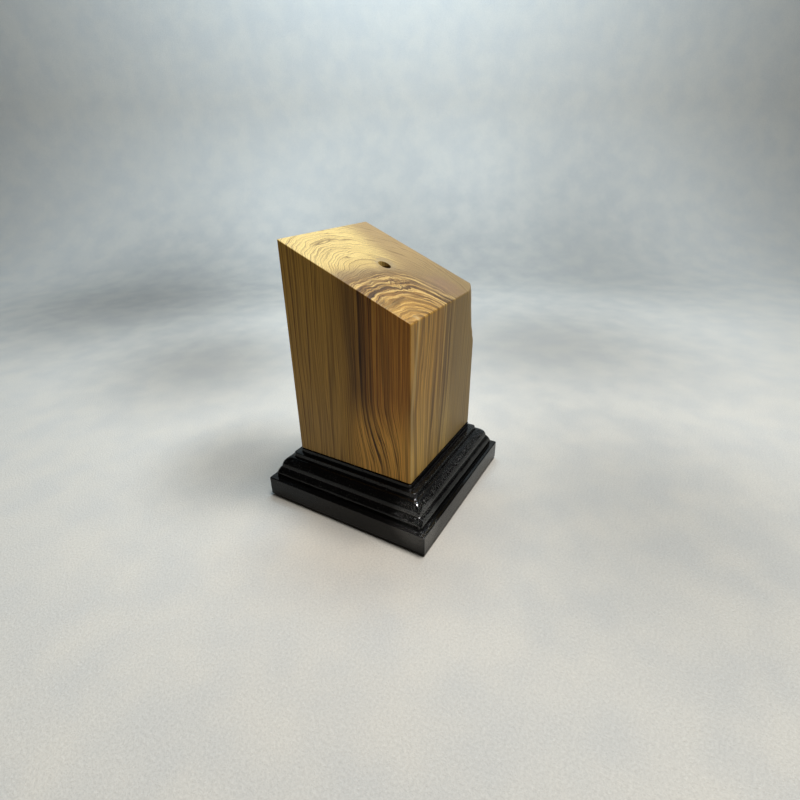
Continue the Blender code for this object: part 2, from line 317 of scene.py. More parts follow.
class NodeSheet:
    """A new material's nodes around its Principled shader."""

    def __init__(self, name: str) -> None:
        """Makes the material under its name."""
        self.material = bpy.data.materials.new(name)
        self.material.use_nodes = True
        self.tree = self.material.node_tree
        self.shader = self.tree.nodes["Principled BSDF"]

    def add(
        self,
        kind: str,
        inputs: dict[int | str, Input] | None = None,
        output: int | str = 0,
        stops: Sequence[tuple[float, float | str]] = (),
        **settings: object,
    ) -> Socket:
        """Adds a node with its settings and links.

        Args:
            kind: The node's type without its ShaderNode prefix.
            inputs: Values or sockets for its inputs, by index or name.
            output: The output to return, by index or name.
            stops: A colour ramp's positions, each with a grey level or an sRGB hex colour.
            **settings: Properties of the node.

        Returns:
            The node's output socket.
        """
        node = self.tree.nodes.new(f"ShaderNode{kind}")
        for name, value in settings.items():
            setattr(node, name, value)
        for key, value in (inputs or {}).items():
            if isinstance(value, Socket):
                self.tree.links.new(value, node.inputs[key])
            else:
                node.inputs[key].default_value = value
        if stops:
            elements = node.color_ramp.elements
            elements.remove(elements[1])
            elements[0].position, elements[0].color = stops[0][0], stop_colour(stops[0][1])
            for position, tone in stops[1:]:
                elements.new(position).color = stop_colour(tone)
        return node.outputs[output]

    def drive(self, name: str, socket: Socket) -> None:
        """Links a socket to the shader's input of that name."""
        self.tree.links.new(socket, self.shader.inputs[name])

    def hold(self, **values: float) -> None:
        """Sets values that are the same all over on the shader's own sockets.

        Args:
            **values: Socket names in lower case with underscores, and their values.
        """
        for name, value in values.items():
            label = name.replace("_", " ").title().replace("Ior", "IOR")
            self.shader.inputs[label].default_value = value

    def emboss(self, height: Socket, strength: float, depth: float) -> None:
        """Roughens the shader's surface.

        Args:
            height: The pattern that stands up.
            strength: How strong it is, from 0 to 1.
            depth: Its depth, in metres.
        """
        bump = {"Strength": strength, "Distance": depth, "Height": height}
        self.drive("Normal", self.add("Bump", bump))

    def millimetres(self) -> Socket:
        """Object coordinates in millimetres."""
        place = self.add("TexCoord", output="Object")
        return self.add("VectorMath", {0: place, "Scale": 1000.0}, operation="SCALE")

    def region(self, *edges: tuple[Socket, float, float], peak: float = 1.0) -> Socket:
        """Marks where several values are all past their soft edges.

        Args:
            *edges: For each edge the value, where it leaves 0 and where it is full.
            peak: How strong the region is inside its edges.

        Returns:
            The region, from 0 to its peak.
        """
        found = None
        for value, start, end in edges:
            ramp = {0: value, 1: start, 2: end, 3: 0.0, 4: peak if found is None else 1.0}
            step = self.add("MapRange", ramp, interpolation_type="SMOOTHSTEP")
            if found is not None:
                step = self.add("Math", {0: found, 1: step}, operation="MULTIPLY")
            found = step
        return found

    def lay(self, colour: Socket, layers: Iterable[tuple[Socket | float, str]]) -> Socket:
        """Lays fixed colours over a colour.

        Args:
            colour: The colour so far.
            layers: Each layer's share, from 0 to 1, and its sRGB hex colour.

        Returns:
            The colour.
        """
        for share, hex_colour in layers:
            mixed = {0: share, 6: colour, 7: linear(hex_colour)}
            colour = self.add("Mix", mixed, output=2, data_type="RGBA")
        return colour

    def cloud(
        self,
        place: Socket,
        cell: Sequence[float],
        detail: float = 2.0,
        roughness: float = 0.5,
        output: int | str = 0,
    ) -> Socket:
        """Adds soft random blotches of a real size.

        Args:
            place: Coordinates in millimetres.
            cell: Size of the blotches along X, Y and Z, in millimetres.
            detail: Number of finer layers.
            roughness: Strength of each finer layer.
            output: The noise's output, by index or name.

        Returns:
            The pattern, about 0.3 to 0.7.
        """
        scaled = self.add("Mapping", {"Vector": place, "Scale": cell}, vector_type="TEXTURE")
        values = {"Vector": scaled, "Scale": 1.0, "Detail": detail, "Roughness": roughness}
        return self.add("TexNoise", values, output=output)


@dataclass(frozen=True)
class Grain:
    """Where a point of the olive wood is in the tree.  Lengths are in millimetres."""

    sheet: NodeSheet
    place: Socket  # Object coordinates.
    x: Socket  # Those coordinates one by one.
    y: Socket
    z: Socket
    end_grain: Socket  # 1 on end grain, 0 on the side that is cut along the rings.
    along: Socket  # Coordinates that run out from the pith, along a ring and up the grain.
    inner: Socket  # Distance from the pith.
    rings: Socket  # The same distance, but round in the outer wood.
    tan: Socket  # 1 in the tan wood of the far right side.
    low: Socket  # 1 low down, where the figure splays.


@dataclass(frozen=True)
class OliveWood:
    """Olive wood, sawn, sanded fine and oiled.

    The pattern is a solid one, as wood's is: growth rings round a pith near the low left corner,
    drawn out along the grain.  It gives pale gold sapwood with fine rings, a violet-grey band,
    and bold chocolate figure near the pith, which runs down the two front faces as stripes.

    Lengths are in millimetres.  ``zone_colours`` holds (share of the way out, colour).
    ``bold_rings`` holds (distance from the pith, tone): tone 0 is the darkest chocolate, 0.5 is
    plain and 1 is the brightest gold.
    """

    pith: Point2 = (-31.1, -38.0)
    pith_stretch: float = 1.2
    outer_centre: Point2 = (-12.0, -10.0)
    outer_start: float = 30.0
    outer_change: float = 14.0
    knot: Point2 = (-8.0, -12.0)
    knot_reach: float = 9.0
    knot_churn: float = 9.0
    rub_centre: Point2 = (1.6, 0.8)
    stain_centre: Point2 = (13.0, -22.0)
    ring_width: float = 1.7
    figure_width: float = 0.9
    fibre_width: float = 0.4
    lean: float = 0.09
    edge_lean: float = 3.5
    splay: float = 7.5
    top_height: float = 96.0
    lean_end: float = 58.0
    zone_reach: float = 90.0
    heart_colour: str = "F2B766"
    foot_colour: str = "FFD888"
    dull_colour: str = "D2BE9C"
    tan_colour: str = "977A50"
    grey_tan_colour: str = "8E7750"
    ring_colour: str = "533815"
    streak_colour: str = "E4BE74"
    figure_colour: str = "331B09"
    rubbed_colour: str = "8E7C60"
    stain_colour: str = "846650"
    # Colour of the painted shade inside the rod hole.
    hole_shade_colour: str = "1A0F06"
    roughness: Point2 = (0.34, 0.52)
    zone_colours: tuple[tuple[float, str], ...] = (
        (0.15, "BC8E4A"),
        (0.24, "C09248"),
        (0.30, "AA7F42"),
        (0.36, "9C7439"),
        (0.405, "8F6B3B"),
        (0.445, "8C6E42"),
        (0.48, "A4895A"),
        (0.53, "CFB06C"),
        (0.58, "E0C27A"),
        (1.00, "E2C47A"),
    )
    # Painted light and shade: the sides facing along X are tinted darker and browner, the sides facing along
    # Y brighter, and the end grain a little darker.
    face_shade_tints: tuple[tuple[float, str], ...] = ((0.0, "BEA77B"), (0.5, "FFFDE6"), (1.0, "E2E2E2"))
    face_shade_strength: float = 1.25
    # The scar's two streaks: place across it, reach and colour.
    scar_streaks: tuple[tuple[float, float, str], ...] = ((-0.8, 1.8, "CDB07C"), (2.2, 1.4, "5B4026"))
    bold_rings: tuple[Point2, ...] = (
        (8.0, 0.5),
        (10.5, 0.5),
        (11.0, 0.25),
        (11.6, 0.55),
        (13.0, 0.5),
        (13.5, 0.2),
        (14.2, 0.6),
        (16.5, 0.5),
        (17.0, 0.2),
        (17.6, 0.6),
        (18.4, 0.3),
        (19.2, 0.05),
        (20.4, 0.2),
        (21.2, 0.8),
        (22.1, 0.5),
        (22.6, 0.15),
        (23.2, 0.4),
        (24.2, 0.45),
        (25.0, 0.95),
        (25.7, 0.6),
        (26.1, 0.1),
        (27.3, 0.05),
        (27.9, 0.45),
        (28.4, 0.75),
        (28.9, 0.5),
        (29.4, 0.1),
        (29.9, 0.45),
        (30.8, 0.2),
        (31.8, 0.8),
        (32.6, 0.8),
        (33.3, 0.45),
        (40.0, 0.5),
    )
    bold_reach: float = 40.0

    def material(self, painted_shade_share: float = 0.0) -> bpy.types.Material:
        """Makes the material.

        Args:
            painted_shade_share: How far a cut surface is darkened with painted shade, from 0 to 1; the
                drilled walls take it for the shade inside the deep hole.

        Returns:
            The material.
        """
        sheet = NodeSheet("olive_wood_drilled_painted_shade" if painted_shade_share else "olive_wood_sanded_and_oiled")
        grain = self.grain(sheet)
        colour, foot = self.warmth(grain, self.zones(grain))
        colour, figure = self.figured(grain, self.growth_rings(grain, colour))
        colour = self.end_marks(grain, self.scar(grain, colour))
        # Painted light and shade: low in the heartwood the sides facing along X are lightened by up to 40
        # percent, as light bounced from the floor would, and the sides facing along Y are darkened by up to
        # 10 percent.
        lift = sheet.add("MapRange", {0: grain.end_grain, 1: 0.0, 2: 0.5, 3: 0.4, 4: -0.1})
        lift = sheet.add("Math", {0: lift, 1: foot, 2: 1.0}, operation="MULTIPLY_ADD")
        colour = sheet.add("VectorMath", {0: colour, "Scale": lift}, operation="SCALE")
        colour, fibre = self.fibres(grain, colour)
        # Painted shade: the drilled walls are darkened almost to black, as the inside of a deep hole is
        # shaded.
        if painted_shade_share:
            colour = sheet.lay(colour, [(painted_shade_share, self.hole_shade_colour)])
        sheet.drive("Base Color", colour)
        low, high = self.roughness
        sheet.drive("Roughness", sheet.add("MapRange", {0: fibre, 1: 0.3, 2: 0.7, 3: low, 4: high}))
        relief = sheet.add("Math", {0: figure, 1: -0.4, 2: fibre}, operation="MULTIPLY_ADD")
        sheet.emboss(relief, 0.12, 0.0002)
        sheet.hold(ior=1.47, specular_ior_level=0.22)
        return sheet.material

    def grain(self, sheet: NodeSheet) -> Grain:
        """Works out where a point is in the tree.

        Args:
            sheet: The material's nodes.

        Returns:
            The coordinates and measures of the point.
        """
        place = sheet.millimetres()
        x, y, z = (sheet.add("SeparateXYZ", {0: place}, axis) for axis in "XYZ")
        end_grain = sheet.add("Attribute", output="Fac", attribute_name="end_grain")
        inner, rings, along = self.ring_distance(sheet, self.warped(sheet, place))
        across = sheet.add("Math", {0: y, 1: -0.3, 2: x}, operation="MULTIPLY_ADD")
        tan = sheet.region((across, -3.0, 16.0))
        low = sheet.region((z, 68.0, 38.0))
        return Grain(sheet, place, x, y, z, end_grain, along, inner, rings, tan, low)

    def warped(self, sheet: NodeSheet, place: Socket) -> Socket:
        """Bends the coordinates as a tree's growth does, most near the knot.

        Args:
            sheet: The material's nodes.
            place: Coordinates in millimetres.

        Returns:
            The bent coordinates.
        """
        bent = place
        for cell, reach in (((30, 30, 150), 6.0), ((7, 7, 85), 3.0), ((2.5, 2.5, 34), 1.0)):
            drift = sheet.cloud(place, cell, output="Color")
            moved = {0: drift, 1: (reach, reach, 0), 2: (-reach / 2, -reach / 2, 0)}
            drift = sheet.add("VectorMath", moved, operation="MULTIPLY_ADD")
            bent = sheet.add("VectorMath", {0: bent, 1: drift}, operation="ADD")
        off = self.plan_distance(sheet, place, self.knot)
        swirl = sheet.region((off, self.knot_reach, 0.0), peak=self.knot_churn)
        churn = sheet.cloud(place, (2.8, 2.8, 40), output="Color")
        churn = sheet.add("VectorMath", {0: churn, 1: (0.5, 0.5, 0.5)}, operation="SUBTRACT")
        churn = sheet.add("VectorMath", {0: churn, "Scale": swirl}, operation="SCALE")
        return sheet.add("VectorMath", {0: bent, 1: churn}, operation="ADD")

    def plan_distance(self, sheet: NodeSheet, place: Socket, centre: Point2) -> Socket:
        """Distance from a centre as seen from above.

        Args:
            sheet: The material's nodes.
            place: Coordinates in millimetres.
            centre: The centre's x and y.

        Returns:
            The distance.
        """
        flat = sheet.add("VectorMath", {0: place, 1: (1, 1, 0)}, operation="MULTIPLY")
        return sheet.add("VectorMath", {0: flat, 1: (*centre, 0)}, "Value", operation="DISTANCE")

    def ring_distance(self, sheet: NodeSheet, place: Socket) -> tuple[Socket, Socket, Socket]:
        """Works out how far out in the tree a point is.

        Args:
            sheet: The material's nodes.
            place: Bent coordinates in millimetres.

        Returns:
            The distance from the pith, the same but round in the outer wood, and coordinates
            that run out from the pith, along a ring and up the grain.
        """
        x, y, z = (sheet.add("SeparateXYZ", {0: place}, axis) for axis in "XYZ")
        across = sheet.add("Math", {0: x, 1: y}, operation="SUBTRACT")
        # The grain leans a little to the left on its way down.
        fall = sheet.add("Math", {0: self.top_height, 1: z}, operation="SUBTRACT")
        right = sheet.region((x, -31.0, -5.0), peak=self.lean)
        leant = sheet.add("Math", {0: fall, 1: right, 2: x}, operation="MULTIPLY_ADD")
        # Beside the low left edge it leans more, but only in the upper third.
        near = sheet.region((x, -31.0, -26.0), (x, -8.0, -20.0))
        extra = sheet.region((z, self.top_height, self.lean_end), peak=self.edge_lean)
        x = sheet.add("Math", {0: near, 1: extra, 2: leant}, operation="MULTIPLY_ADD")
        # Low down it splays towards the low side, like flames.
        splayed = sheet.region((z, 62.0, 26.0), peak=self.splay)
        rise = sheet.region((y, 3.0, -19.0), (y, -29.0, -20.0))
        y = sheet.add("Math", {0: splayed, 1: rise, 2: y}, operation="MULTIPLY_ADD")
        # Inner rings are squarish round the pith.
        powers = []
        for value, centre, stretch in ((x, self.pith[0], self.pith_stretch), (y, self.pith[1], 1.0)):
            off = sheet.add("Math", {0: value, 1: centre}, operation="SUBTRACT")
            off = sheet.add("Math", {0: off, 1: 1 / stretch}, operation="MULTIPLY")
            off = sheet.add("Math", {0: off}, operation="ABSOLUTE")
            powers.append(sheet.add("Math", {0: off, 1: 3.0}, operation="POWER"))
        inner = sheet.add("Math", dict(enumerate(powers)), operation="ADD")
        inner = sheet.add("Math", {0: inner, 1: 1 / 3}, operation="POWER")
        # Outer rings are round about a centre of their own.
        flat = sheet.add("CombineXYZ", {0: x, 1: y, 2: 0.0})
        centre = {0: flat, 1: (*self.outer_centre, 0)}
        outer = sheet.add("VectorMath", centre, "Value", operation="DISTANCE")
        outer = sheet.add("Math", {0: outer, 1: self.outer_start}, operation="ADD")
        change = sheet.region((inner, self.outer_start, self.outer_start + self.outer_change))
        rings = sheet.add("Mix", {0: change, 2: inner, 3: outer})
        return inner, rings, sheet.add("CombineXYZ", {0: rings, 1: across, 2: z})

    def zones(self, grain: Grain) -> Socket:
        """Colours the wood from the pith outwards.

        Args:
            grain: Where a point is in the tree.

        Returns:
            The colour.
        """
        sheet = grain.sheet
        blotch = sheet.cloud(grain.place, (9, 9, 60), 3.0)
        side = sheet.add("MapRange", {0: grain.end_grain, 3: 4.5, 4: 0.0})
        side = sheet.add("Math", {0: grain.low, 1: 3.0, 2: side}, operation="MULTIPLY_ADD")
        out = sheet.add("Math", {0: grain.inner, 1: side}, operation="ADD")
        out = sheet.add("Math", {0: blotch, 1: 8.0, 2: out}, operation="MULTIPLY_ADD")
        out = sheet.add("Math", {0: out, 1: 1 / self.zone_reach}, operation="MULTIPLY")
        colour = sheet.add("ValToRGB", {0: out}, stops=self.zone_colours)
        # Towards the far right the wood is tan rather than gold, and greyer at the low side.
        tan = sheet.add("Math", {0: grain.tan, 1: 0.85}, operation="MULTIPLY")
        edges = (grain.y, 6.0, -24.0), (grain.x, -2.0, 12.0), (grain.end_grain, -0.2, 1.0)
        near = sheet.region(*edges, peak=0.9)
        return sheet.lay(colour, ((tan, self.tan_colour), (near, self.grey_tan_colour)))

    def warmth(self, grain: Grain, colour: Socket) -> tuple[Socket, Socket]:
        """Warms the heartwood on the sides and low down, and dulls the sapwood low down.

        Args:
            grain: Where a point is in the tree.
            colour: The colour so far.

        Returns:
            The colour, and how far a point is in the foot of the heartwood.
        """
        sheet = grain.sheet
        heart = sheet.add("MapRange", {0: grain.end_grain, 1: 0.0, 2: 0.5, 3: 0.85, 4: 0.0})
        core = sheet.region((grain.inner, 32.0, 23.0))
        heart = sheet.add("Math", {0: heart, 1: core}, operation="MULTIPLY")
        side = sheet.add("MapRange", {0: grain.end_grain, 1: 0.0, 2: 0.5, 3: 0.9, 4: 0.3})
        core = sheet.region((grain.inner, 40.0, 32.0))
        foot = sheet.add("Math", {0: grain.low, 1: core}, operation="MULTIPLY")
        warm = sheet.add("Math", {0: foot, 1: side}, operation="MULTIPLY")
        dull = sheet.region((grain.end_grain, 0.4, 0.0), (grain.inner, 38.0, 50.0), peak=0.45)
        dull = sheet.add("Math", {0: grain.low, 1: dull}, operation="MULTIPLY")
        layers = (heart, self.heart_colour), (warm, self.foot_colour), (dull, self.dull_colour)
        return sheet.lay(colour, layers), foot

    def growth_rings(self, grain: Grain, colour: Socket) -> Socket:
        """Draws the growth rings, each darkening outwards to a fine line.

        Args:
            grain: Where a point is in the tree.
            colour: The colour so far.

        Returns:
            The colour with rings.
        """
        sheet = grain.sheet
        # They are less clear in the tan wood and on the sides.
        clear = sheet.add("MapRange", {0: grain.tan, 3: 1.0, 4: 0.65})
        plain = sheet.add("MapRange", {0: grain.end_grain, 1: 0.0, 2: 1.0, 3: 0.8, 4: 0.86})
        clear = sheet.add("Math", {0: clear, 1: plain}, operation="MULTIPLY")
        for width, strength, seed in ((self.ring_width, 0.95, 0.0), (self.ring_width * 0.43, 0.6, 9.0)):
            moved = sheet.add("VectorMath", {0: grain.along, 1: (seed, seed, seed)}, operation="ADD")
            drift = sheet.cloud(moved, (5, 50, 200))
            phase = sheet.add("Math", {0: grain.rings, 1: 1 / width}, operation="MULTIPLY")
            phase = sheet.add("Math", {0: drift, 1: 5.0, 2: phase}, operation="MULTIPLY_ADD")
            phase = sheet.add("Math", {0: phase}, operation="FRACT")
            stops = ((0.0, 0.0), (0.55, 0.15), (0.82, 1.0), (0.94, 0.0))
            line = sheet.add("ValToRGB", {0: phase}, stops=stops)
            broken = {0: sheet.cloud(moved, (3, 14, 80)), 1: 0.35, 2: 0.6, 3: strength * 0.5, 4: strength}
            broken = sheet.add("MapRange", broken)
            amount = sheet.add("Math", {0: line, 1: broken}, operation="MULTIPLY")
            amount = sheet.add("Math", {0: amount, 1: clear}, operation="MULTIPLY")
            colour = sheet.lay(colour, [(amount, self.ring_colour)])
        return colour

    def figured(self, grain: Grain, colour: Socket) -> tuple[Socket, Socket]:
        """Lays the dark figure and its bright streaks over the heartwood.

        Args:
            grain: Where a point is in the tree.
            colour: The colour so far.

        Returns:
            The colour, and how much figure there is.
        """
        sheet = grain.sheet
        # The bold rings, each wandering and fading along its length, and thinning out low down.
        wander = sheet.cloud(grain.along, (6, 16, 120))
        bold = sheet.add("Math", {0: wander, 1: 3.0, 2: grain.inner}, operation="MULTIPLY_ADD")
        bold = sheet.add("MapRange", {0: bold, 1: 1.5, 2: 1.5 + self.bold_reach})
        stops = [(distance / self.bold_reach, tone) for distance, tone in self.bold_rings]
        bold = sheet.add("ValToRGB", {0: bold}, stops=stops)
        dark = sheet.add("MapRange", {0: bold, 1: 0.5, 2: 0.0})
        light = sheet.add("MapRange", {0: bold, 1: 0.5, 2: 1.0})
        thinned = sheet.add("MapRange", {0: grain.low, 3: 1.0, 4: 0.28})
        dark = sheet.add("Math", {0: dark, 1: thinned}, operation="MULTIPLY")
        # On the sides gold shows through them as fine lines.
        gap = sheet.cloud(grain.along, (self.figure_width * 0.6, 30, 160))
        least = sheet.add("MapRange", {0: grain.end_grain, 1: 0.0, 2: 0.7, 3: 0.45, 4: 1.0})
        gap = sheet.add("MapRange", {0: gap, 1: 0.56, 2: 0.46, 3: least, 4: 1.0})
        dark = sheet.add("Math", {0: dark, 1: gap}, operation="MULTIPLY")
        # Thinner random stripes lie between them.
        spread = sheet.add("Math", {0: grain.inner, 1: 1 / 50}, operation="MULTIPLY")
        stops = ((0.2, 0.25), (0.32, 0.5), (0.42, 1.0), (0.64, 1.0), (0.78, 0.0))
        where = sheet.add("ValToRGB", {0: spread}, stops=stops)
        stripes = sheet.cloud(grain.along, (self.figure_width, 20, 90), 2.0, 0.6)
        thin = sheet.add("MapRange", {0: stripes, 1: 0.52, 2: 0.6})
        thin = sheet.add("Math", {0: thin, 1: where}, operation="MULTIPLY")
        glow = sheet.add("MapRange", {0: stripes, 1: 0.46, 2: 0.36})
        glow = sheet.add("Math", {0: glow, 1: where}, operation="MULTIPLY")
        figure = sheet.add("Math", {0: dark, 1: thin}, operation="MAXIMUM")
        light = sheet.add("Math", {0: light, 1: glow}, operation="MAXIMUM")
        # Both come and go in broad patches, and are fainter on the side cut across the rings.
        share = sheet.cloud(grain.along, (8, 14, 50))
        share = sheet.add("MapRange", {0: share, 1: 0.32, 2: 0.6, 3: 0.45, 4: 0.95})
        side = sheet.add("ValToRGB", {0: grain.end_grain}, stops=((0.0, 1.0), (0.5, 0.5), (1.0, 1.0)))
        share = sheet.add("Math", {0: share, 1: side}, operation="MULTIPLY")
        light = sheet.add("Math", {0: light, 1: share}, operation="MULTIPLY")
        figure = sheet.add("Math", {0: figure, 1: share}, operation="MULTIPLY")
        layers = (light, self.streak_colour), (figure, self.figure_colour)
        return sheet.lay(colour, layers), figure

    def scar(self, grain: Grain, colour: Socket) -> Socket:
        """Draws the pale streak with a dark one beside it on the low side, near its left edge.

        Args:
            grain: Where a point is in the tree.
            colour: The colour so far.

        Returns:
            The colour.
        """
        sheet = grain.sheet
        line = {0: grain.z, 1: self.top_height, 2: self.lean_end, 3: -24.5, 4: -30.5}
        line = sheet.add("MapRange", line)
        wave = sheet.cloud(grain.place, (4, 4, 45))
        line = sheet.add("Math", {0: wave, 1: 2.0, 2: line}, operation="MULTIPLY_ADD")
        off = sheet.add("Math", {0: grain.x, 1: line}, operation="SUBTRACT")
        for centre, reach, hex_colour in self.scar_streaks:
            away = sheet.add("Math", {0: off, 1: centre}, operation="SUBTRACT")
            away = sheet.add("Math", {0: away}, operation="ABSOLUTE")
            share = sheet.region((away, reach, 0.3), (grain.y, -26.0, -29.0), peak=0.5)
            colour = sheet.lay(colour, [(share, hex_colour)])
        return colour

    def end_marks(self, grain: Grain, colour: Socket) -> Socket:
        """Greys the wood round the rod's hole and stains it just outside the dark figure.

        Args:
            grain: Where a point is in the tree.
            colour: The colour so far.

        Returns:
            The colour.
        """
        sheet = grain.sheet
        off = self.plan_distance(sheet, grain.place, self.rub_centre)
        torn = sheet.cloud(grain.place, (2.2, 1.2, 6), 3.0, 0.6)
        off = sheet.add("Math", {0: torn, 1: -7.0, 2: off}, operation="MULTIPLY_ADD")
        rub = sheet.region((off, 3.0, -1.5), peak=0.6)
        rub = sheet.add("Math", {0: rub, 1: grain.end_grain}, operation="MULTIPLY")
        off = self.plan_distance(sheet, grain.place, self.stain_centre)
        edge = sheet.cloud(grain.place, (5, 5, 60))
        off = sheet.add("Math", {0: edge, 1: 9.0, 2: off}, operation="MULTIPLY_ADD")
        stain = sheet.region((off, 17.0, 6.0), (grain.end_grain, 0.6, 1.0), peak=0.6)
        return sheet.lay(colour, ((rub, self.rubbed_colour), (stain, self.stain_colour)))

    def fibres(self, grain: Grain, colour: Socket) -> tuple[Socket, Socket]:
        """Adds the fine fibres, which are long lines on the sides and specks on the end grain.

        Args:
            grain: Where a point is in the tree.
            colour: The colour so far.

        Returns:
            The colour, and the fibres.
        """
        sheet = grain.sheet
        # Real fibres are finer than 0.1 mm; they are drawn at 0.4 mm so that they show.
        fibre = sheet.cloud(grain.place, (self.fibre_width, self.fibre_width, 18), 3.0, 0.6)
        shade = sheet.add("MapRange", {0: fibre, 1: 0.3, 2: 0.7, 3: 0.78, 4: 1.2})
        colour = sheet.add("VectorMath", {0: colour, "Scale": shade}, operation="SCALE")
        # Painted light and shade: each face is tinted by the way it faces.
        painted_face_shade = sheet.add("ValToRGB", {0: grain.end_grain}, stops=self.face_shade_tints)
        painted_face_shade = sheet.add("VectorMath", {0: painted_face_shade, "Scale": self.face_shade_strength}, operation="SCALE")
        return sheet.add("VectorMath", {0: colour, 1: painted_face_shade}, operation="MULTIPLY"), fibre


@dataclass(frozen=True)
class BlackLacquer:
    """Black lacquer brushed over moulded wood.

    It gives a deep gloss whose reflections are broken up by brush marks and the wood's grain.

    Lengths are in millimetres.
    """

    dark: str = "040404"
    light: str = "0D0C0B"
    brush_width: float = 0.7
    nib_size: float = 0.55
    # Centre of the corner where the nibs crowd and the painted highlight is strongest.
    nib_and_highlight_corner: Point3 = (-38.0, -38.0, 15.0)
    roughness: Point2 = (0.07, 0.18)
    # Reflection strength, plain and at its painted highlight.
    gloss: Point2 = (0.2, 1.0)

    def material(self) -> bpy.types.Material:
        """Makes the material."""
        sheet = NodeSheet("black_lacquer_brushed")
        place = sheet.millimetres()
        mottle = sheet.cloud(place, (3, 3, 2), 3.0)
        shade = {0: mottle, 6: linear(self.dark), 7: linear(self.light)}
        sheet.drive("Base Color", sheet.add("Mix", shade, output=2, data_type="RGBA"))
        brush = sheet.cloud(place, (9, 9, self.brush_width))
        # Dust nibs stand up where the noise peaks: most on the low side's ledges and at its corner.
        y, z = (sheet.add("SeparateXYZ", {0: place}, axis) for axis in "YZ")
        ledge = sheet.region((y, -27.0, -33.0), (z, 14.0, 20.0))
        corner = sheet.add("VectorMath", {0: place, 1: self.nib_and_highlight_corner}, "Value", operation="DISTANCE")
        corner_nibs_and_highlight = sheet.region((corner, 15.0, 5.0))
        ledge = sheet.add("Math", {0: ledge, 1: corner_nibs_and_highlight}, operation="MAXIMUM")
        crowd = sheet.add("MapRange", {0: ledge, 3: -0.06, 4: 0.06})
        nibs = sheet.cloud(place, (self.nib_size,) * 3, 1.0)
        nibs = sheet.add("Math", {0: nibs, 1: crowd}, operation="ADD")
        nibs = sheet.add("MapRange", {0: nibs, 1: 0.6, 2: 0.72})
        sheet.emboss(sheet.add("Math", {0: brush, 1: 0.15, 2: nibs}, operation="MULTIPLY_ADD"), 0.7, 0.0003)
        low, high = self.roughness
        sheet.drive("Roughness", sheet.add("MapRange", {0: mottle, 1: 0.35, 2: 0.65, 3: low, 4: high}))
        # Painted highlight: the reflection is made up to five times stronger at the low left mitre and on
        # the nibs of the low side's ledges, so that highlights show bright there.
        gloss = sheet.add("Math", {0: nibs, 1: ledge}, operation="MULTIPLY")
        gloss = sheet.add("Math", {0: gloss, 1: corner_nibs_and_highlight}, operation="MAXIMUM")
        low, high = self.gloss
        sheet.drive("Specular IOR Level", sheet.add("MapRange", {0: gloss, 3: low, 4: high}))
        sheet.hold(ior=1.5)
        return sheet.material


@dataclass(frozen=True)
class ZincPlate:
    """Steel, cold headed, thread rolled and plated with zinc.

    It gives a bright grey metal with a faint warm and blue bloom and fine tool marks.

    Lengths are in millimetres.
    """

    bloom: tuple[tuple[float, str], ...] = ((0.35, "B9B6AC"), (0.5, "C6C7C6"), (0.65, "B3BAC4"))
    tool_mark: float = 0.15
    roughness: Point2 = (0.22, 0.42)

    def material(self) -> bpy.types.Material:
        """Makes the material."""
        sheet = NodeSheet("steel_zinc_plated")
        place = sheet.millimetres()
        blotch = sheet.cloud(place, (2, 2, 3), 3.0)
        sheet.drive("Base Color", sheet.add("ValToRGB", {0: blotch}, stops=self.bloom))
        marks = sheet.cloud(place, (1.5, 1.5, self.tool_mark))
        low, high = self.roughness
        sheet.drive("Roughness", sheet.add("MapRange", {0: marks, 1: 0.3, 2: 0.7, 3: low, 4: high}))
        sheet.emboss(marks, 0.1, 0.0001)
        sheet.hold(metallic=1.0)
        return sheet.material


@dataclass(frozen=True)
class NeedledFelt:
    """Wool felt, needled and die cut.

    It gives a dull black mat of short fibres with a soft sheen at its edges.

    Lengths are in millimetres.
    """

    dark: str = "0E0E0F"
    light: str = "2B2A2A"
    fibre: float = 0.35
    roughness: Point2 = (0.85, 1.0)

    def material(self) -> bpy.types.Material:
        """Makes the material."""
        sheet = NodeSheet("wool_felt_die_cut")
        place = sheet.millimetres()
        mat = sheet.cloud(place, (self.fibre,) * 3, 3.0, 0.7)
        shade = {0: mat, 6: linear(self.dark), 7: linear(self.light)}
        sheet.drive("Base Color", sheet.add("Mix", shade, output=2, data_type="RGBA"))
        low, high = self.roughness
        sheet.drive("Roughness", sheet.add("MapRange", {0: mat, 1: 0.3, 2: 0.7, 3: low, 4: high}))
        sheet.emboss(mat, 0.6, 0.0002)
        sheet.hold(sheen_weight=0.3, sheen_roughness=0.6)
        return sheet.material


